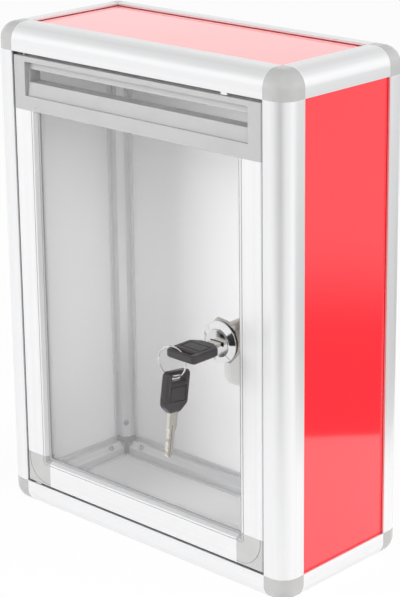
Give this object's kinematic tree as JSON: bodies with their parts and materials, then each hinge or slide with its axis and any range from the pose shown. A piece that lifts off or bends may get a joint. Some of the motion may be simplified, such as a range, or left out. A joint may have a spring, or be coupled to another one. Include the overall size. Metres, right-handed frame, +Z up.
{
  "type": "wall mounted post box",
  "caption": "Small wall post box of aluminium edge profiles and red panels, with a clear hinged door, a letter slot, a cam lock and keys on a ring.",
  "frame": {"origin": "centre of the wall fixing pattern, on the outer face of the back panel", "axes": "+Y into the wall, +Z up, +X to the right as seen from the front; the door faces -Y"},
  "size_m": [0.21, 0.1284, 0.28],
  "materials": {
    "anodised_profile": "satin anodised",
    "white_profile": "satin anodised",
    "grey_corner": "smooth moulded",
    "grey_header": "smooth moulded",
    "pale_plastic": "smooth moulded",
    "red_panel": "gloss",
    "clear_acrylic": "clear gloss",
    "gasket": "matt",
    "chrome": "polished",
    "nickel": "nickel plated",
    "zinc_steel": "zinc plated",
    "zinc_screw": "zinc plated",
    "black_plastic": "satin moulded",
    "ring_wire": "bright wire"
  },
  "bodies": {
    "case": {"profile_front_left": "anodised_profile", "profile_front_right": "anodised_profile", "profile_front_top": "anodised_profile", "profile_front_bottom": "anodised_profile", "profile_back_left": "anodised_profile", "profile_back_right": "anodised_profile", "profile_back_top": "anodised_profile", "profile_back_bottom": "anodised_profile", "profile_side_top_left": "anodised_profile", "profile_side_top_right": "anodised_profile", "profile_side_bottom_left": "anodised_profile", "profile_side_bottom_right": "anodised_profile", "corner_front_top_left": "grey_corner", "corner_front_top_right": "grey_corner", "corner_front_bottom_left": "grey_corner", "corner_front_bottom_right": "grey_corner", "corner_back_top_left": "grey_corner", "corner_back_top_right": "grey_corner", "corner_back_bottom_left": "grey_corner", "corner_back_bottom_right": "grey_corner", "panel_left": "red_panel", "panel_right": "red_panel", "panel_top": "red_panel", "panel_bottom": "red_panel", "panel_back": "red_panel", "corner_screws": "zinc_screw", "hinge_block_top": "pale_plastic", "hinge_block_bottom": "pale_plastic", "door_buffer": "pale_plastic", "lock_catch": "zinc_steel", "catch_screws": "zinc_screw"},
    "door": {"slot_header": "grey_header", "stile_left": "white_profile", "stile_right": "white_profile", "bottom_rail": "white_profile", "door_corner_left": "grey_header", "door_corner_right": "grey_header", "clear_panel": "clear_acrylic", "glazing_gasket": "gasket", "hinge_pin_top": "zinc_screw", "hinge_pin_bottom": "zinc_screw", "lock_housing": "chrome", "lock_nut": "nickel"},
    "lock": {"lock_plug": "chrome", "lock_cam": "zinc_steel", "cam_screw": "zinc_screw", "key_blade": "nickel", "key_head": "black_plastic"},
    "ring": {"key_ring": "ring_wire"},
    "spare_key": {"spare_key_blade": "nickel", "spare_key_head": "black_plastic"}
  },
  "joints": [
    {"name": "door_hinge", "type": "hinge", "parent": "case", "child": "door", "pos_m": [-0.083, -0.0905, -0.11], "axis": [0, 0, -1], "range_deg": [0, 110]},
    {"name": "lock_turn", "type": "hinge", "parent": "door", "child": "lock", "pos_m": [0.0583, -0.0925, -0.1112], "axis": [0, -1, 0], "range_deg": [0, 90]},
    {"name": "ring_swing", "type": "hinge", "parent": "lock", "child": "ring", "pos_m": [0.0509, -0.1179, -0.1112], "axis": [0.1736, -0.9848, 0], "range_deg": [-95, 25]},
    {"name": "spare_key_swing", "type": "hinge", "parent": "ring", "child": "spare_key", "pos_m": [0.0509, -0.1179, -0.1243], "axis": [0.9848, 0.1736, 0], "range_deg": [-20, 20]}
  ]
}
